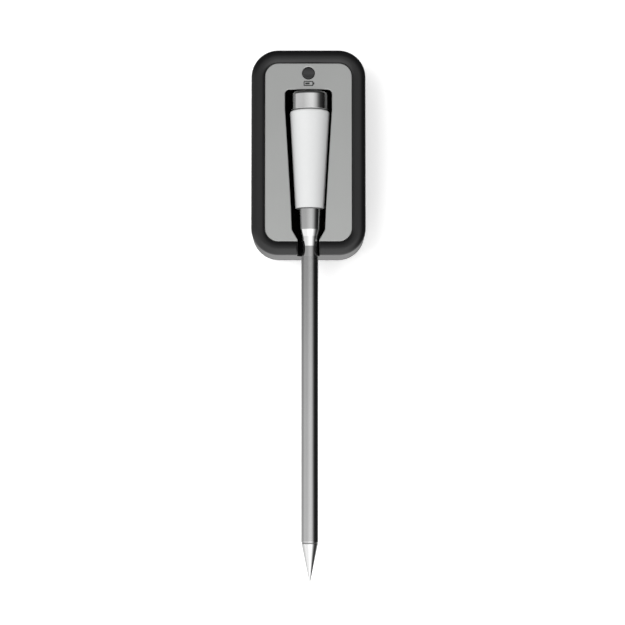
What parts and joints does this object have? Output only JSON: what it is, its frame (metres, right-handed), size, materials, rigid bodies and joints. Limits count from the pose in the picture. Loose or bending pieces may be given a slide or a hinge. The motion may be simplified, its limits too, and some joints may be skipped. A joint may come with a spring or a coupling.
{
  "type": "meat thermometer",
  "caption": "Wireless meat thermometer: pointed steel probe with a white ceramic handle, lying in a rounded black pocket dock with a satin metal face.",
  "frame": {"origin": "centre of the dock's footprint, on the surface its feet stand on", "axes": "+Z out of the dock's face, +Y towards the dock's charging-port end, the probe's point towards -Y, +X to the right seen from above with the point towards the viewer"},
  "size_m": [0.034, 0.1577, 0.0216],
  "materials": {
    "case_black": "satin black moulding",
    "cover_black": "fine spark texture",
    "key_black": "satin",
    "liner_black": "high gloss",
    "satin_plate": "bead-blasted satin anodise",
    "black_rubber": "matte",
    "grey_silicone": "matte",
    "screw_steel": "zinc plated",
    "circuit_board": "green solder mask",
    "cell_foil": "embossed pouch foil",
    "foam": "open-cell foam",
    "bright_steel": "drawn bright",
    "black_nylon": "moulded",
    "gold_brass": "gold plated",
    "spring_steel": "bright wire",
    "magnet_nickel": "nickel plated",
    "clear_guide": "smoked clear",
    "lamp_white": "clear",
    "shield_steel": "tinned",
    "shank_steel": "polished stainless",
    "polished_steel": "mirror polished",
    "white_ceramic": "smooth matt-glazed zirconia",
    "copper_wire": "enamelled",
    "sensor_glass": "glass bead"
  },
  "bodies": {
    "dock": {"housing": "case_black", "rear_cover": "cover_black", "case_gasket": "black_rubber", "face_plate": "satin_plate", "cradle": "liner_black", "rest_pads": "grey_silicone", "feet": "black_rubber", "case_screws": "screw_steel", "board_screws": "screw_steel", "dock_board": "circuit_board", "dock_cell": "cell_foil", "cell_pad": "foam", "usb_shell": "bright_steel", "usb_tongue": "black_nylon", "cap_contact_barrel": "gold_brass", "cap_contact_spring": "spring_steel", "ferrule_contact_barrel": "gold_brass", "ferrule_contact_spring": "spring_steel", "probe_magnet": "magnet_nickel", "back_magnets": "magnet_nickel", "light_guide": "clear_guide", "status_led": "lamp_white", "switch_base": "black_nylon", "switch_dome": "spring_steel", "radio_module": "shield_steel"},
    "probe": {"probe_tube": "shank_steel", "probe_tip": "shank_steel", "ferrule": "polished_steel", "handle_sleeve": "white_ceramic", "end_cap": "polished_steel", "cap_seal": "grey_silicone", "ferrule_seal": "grey_silicone", "probe_board": "circuit_board", "cap_pin": "gold_brass", "antenna_coil": "copper_wire", "probe_cell": "bright_steel", "sensor_lead": "copper_wire", "tip_sensor": "sensor_glass", "air_sensor": "sensor_glass"},
    "cap_contact": {"cap_contact_plunger": "gold_brass"},
    "ferrule_contact": {"ferrule_contact_plunger": "gold_brass"},
    "pair_key": {"pair_button": "key_black", "switch_plunger": "black_nylon"}
  },
  "joints": [
    {"name": "probe_lift", "type": "slide", "parent": "dock", "child": "probe", "axis": [0, 0, 1], "range_m": [0, 0.04]},
    {"name": "cap_contact_press", "type": "slide", "parent": "dock", "child": "cap_contact", "axis": [0, 0, -1], "range_m": [0, 0.0006], "stiffness_N_per_m": 300, "deforming": ["cap_contact_spring"]},
    {"name": "ferrule_contact_press", "type": "slide", "parent": "dock", "child": "ferrule_contact", "axis": [0, 0, -1], "range_m": [0, 0.0006], "stiffness_N_per_m": 300, "deforming": ["ferrule_contact_spring"]},
    {"name": "pair_key_press", "type": "slide", "parent": "dock", "child": "pair_key", "axis": [-1, 0, 0], "range_m": [0, 0.0004], "stiffness_N_per_m": 1500, "deforming": ["switch_dome"]}
  ]
}
